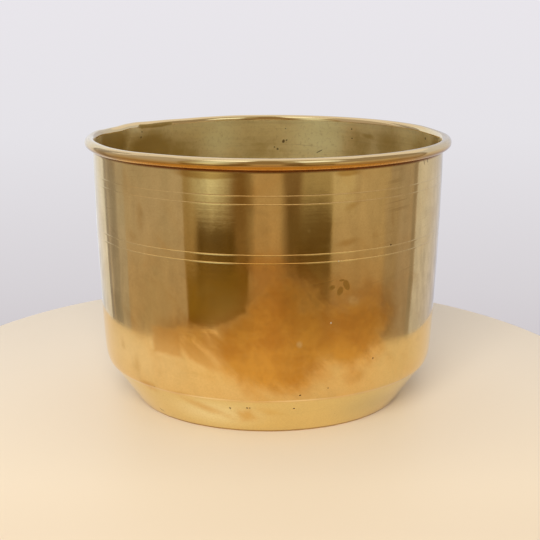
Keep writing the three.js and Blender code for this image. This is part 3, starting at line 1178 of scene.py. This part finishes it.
def room_card(name, span, slopes, distance, upper, lower, softness):
    """An upright curved card round the pot that only polished metal sees. span holds its two
    bearings in degrees from the camera's side towards +X, and slopes its lower and upper edge in
    degrees as seen from the pot."""
    sideways, level = softness
    foot, head = (EYE_HEIGHT + distance / MM * math.tan(math.radians(slope))
                  for slope in (slopes[0] - 2 * level, slopes[1] + 2 * level))
    card = draw_outline(name, [(distance / MM, foot), (distance / MM, head)])
    bpy.ops.mesh.select_all(action="SELECT")
    start = span[0] - 2 * sideways
    turn = math.radians(span[1] + 2 * sideways - start)
    steps = max(2, round(math.degrees(turn) / CARD_STEP))
    bpy.ops.mesh.spin(steps=steps, angle=-turn, center=(0, 0, 0), axis=(0, 0, 1))
    bpy.ops.object.mode_set(mode="OBJECT")
    quarter_turn = 90     # from +X, where the card is drawn, to the camera's side
    card.rotation_euler = (0, 0, math.radians(start - quarter_turn))
    bpy.ops.object.transform_apply(rotation=True)
    card.data.materials.append(card_glow(name, span, slopes, distance, upper, lower, softness))
    card.visible_camera = False
    card.visible_diffuse = False
    card.visible_shadow = False
    card.visible_transmission = False


# What the polished brass mirrors: name, bearings, lower and upper slope, distance in metres, the
# colour high up and low down, and how soft its edges are sideways and up and down, in degrees.
ROOM = (
    ("back_left", (-180, -131), (-30, 30), 2.00,
     (0.82, 0.87, 1.00), (0.72, 0.76, 0.86), (0, 0)),
    ("back_left_edge", (-131, -127), (-26, 50), 1.97,
     (0.34, 0.33, 0.35), (0.34, 0.33, 0.35), (0.6, 0.1)),
    ("back_right", (110, 180), (-30, 30), 2.00,
     (0.62, 0.64, 0.74), (0.56, 0.57, 0.68), (0, 0)),
    ("left_wall", (-130, -104), (-26, 22), 2.00,
     (0.475, 0.455, 0.47), (0.44, 0.40, 0.375), (0, 0)),
    ("left_wall_fold", (-124, -114), (-26, 40), 1.98,
     (0.34, 0.32, 0.33), (0.32, 0.30, 0.29), (2.0, 0.1)),
    ("left_wall_near", (-104, -54), (-26, 58), 2.00,
     (0.46, 0.41, 0.375), (0.47, 0.37, 0.27), (0, 0)),
    ("front_wall", (-54, -15), (-26, 58), 2.02,
     (0.35, 0.275, 0.165), (0.32, 0.21, 0.09), (0, 0)),
    ("front_pale", (-44, -25), (-9.8, 58), 1.90,
     (0.72, 0.77, 0.69), (0.72, 0.77, 0.69), (8.0, 2.2)),
    ("front_core", (-45, -20), (-15.2, -11.6), 1.94,
     (0.09, 0.052, 0.008), (0.11, 0.062, 0.010), (2.4, 1.2)),
    ("front_shade", (-53, -12.3), (-20.6, -15.3), 1.95,
     (0.155, 0.098, 0.018), (0.235, 0.140, 0.020), (0.35, 0.35)),
    ("front_column", (-10.5, 9.5), (-26, 12), 1.985,
     (0.47, 0.36, 0.23), (0.46, 0.29, 0.14), (4.0, 0.4)),
    ("front_column_side", (-25, -11), (-15.6, 12), 1.97,
     (0.20, 0.125, 0.05), (0.25, 0.16, 0.07), (5.0, 0.6)),
    ("front_column_head", (-17, 12), (12, 72), 1.96,
     (0.28, 0.195, 0.10), (0.28, 0.195, 0.10), (2.5, 1.0)),
    ("doorway_wall", (-15, 41), (-26, 58), 2.02,
     (0.39, 0.33, 0.21), (0.42, 0.29, 0.15), (0, 0)),
    ("doorway_edge", (9, 21), (-16, 30), 1.97,
     (0.22, 0.15, 0.08), (0.20, 0.13, 0.06), (2.4, 0.8)),
    ("doorway", (12, 40), (-16.2, -10.0), 1.96,
     (0.115, 0.072, 0.020), (0.115, 0.068, 0.012), (0.8, 1.1)),
    ("doorway_low", (18, 40), (-17.8, -15), 1.95,
     (0.14, 0.075, 0.007), (0.14, 0.075, 0.007), (1.2, 0.5)),
    ("right_wall", (41, 83), (-26, 14), 2.00,
     (0.475, 0.40, 0.30), (0.43, 0.305, 0.185), (0, 0)),
    ("right_pale", (40, 55), (-10, 14), 1.99,
     (0.57, 0.515, 0.39), (0.57, 0.515, 0.39), (3.0, 1.5)),
    ("right_wall_far", (83, 107), (-26, 14), 2.00,
     (0.41, 0.36, 0.33), (0.38, 0.31, 0.27), (0, 0)),
    ("right_wall_fold", (80, 92), (-26, -8), 1.98,
     (0.385, 0.325, 0.265), (0.355, 0.28, 0.215), (3.0, 0.8)),
    ("right_wall_head", (41, 107), (14, 58), 2.01,
     (0.33, 0.27, 0.20), (0.33, 0.27, 0.20), (0, 0)),
    ("window_right", (22, 52), (36, 60), 1.50,
     (1.10, 1.20, 1.22), (1.10, 1.20, 1.22), (3.0, 3.0)),
    ("window_left", (-68, -18), (54, 82), 1.50,
     (1.18, 1.24, 1.26), (1.18, 1.24, 1.26), (3.0, 3.0)),
    ("right_edge", (105.5, 110), (-26, 50), 1.98,
     (0.32, 0.285, 0.265), (0.32, 0.285, 0.265), (1.1, 0.1)),
)


photo_camera()
pale_world()
pale_surface()
soft_lamp("front_lamp", (-0.55, -3.55, 1.95), size=2.4, power=196, colour=(1.0, 0.98, 0.95))
soft_lamp("top_lamp", (0.0, 0.40, 1.60), size=1.0, power=3.0, colour=(1.0, 0.99, 0.98))
for row in ROOM:
    room_card(*row)

spun_brass_body()
rim_wire()
deselect()

bpy.context.scene.view_settings.view_transform = "Standard"
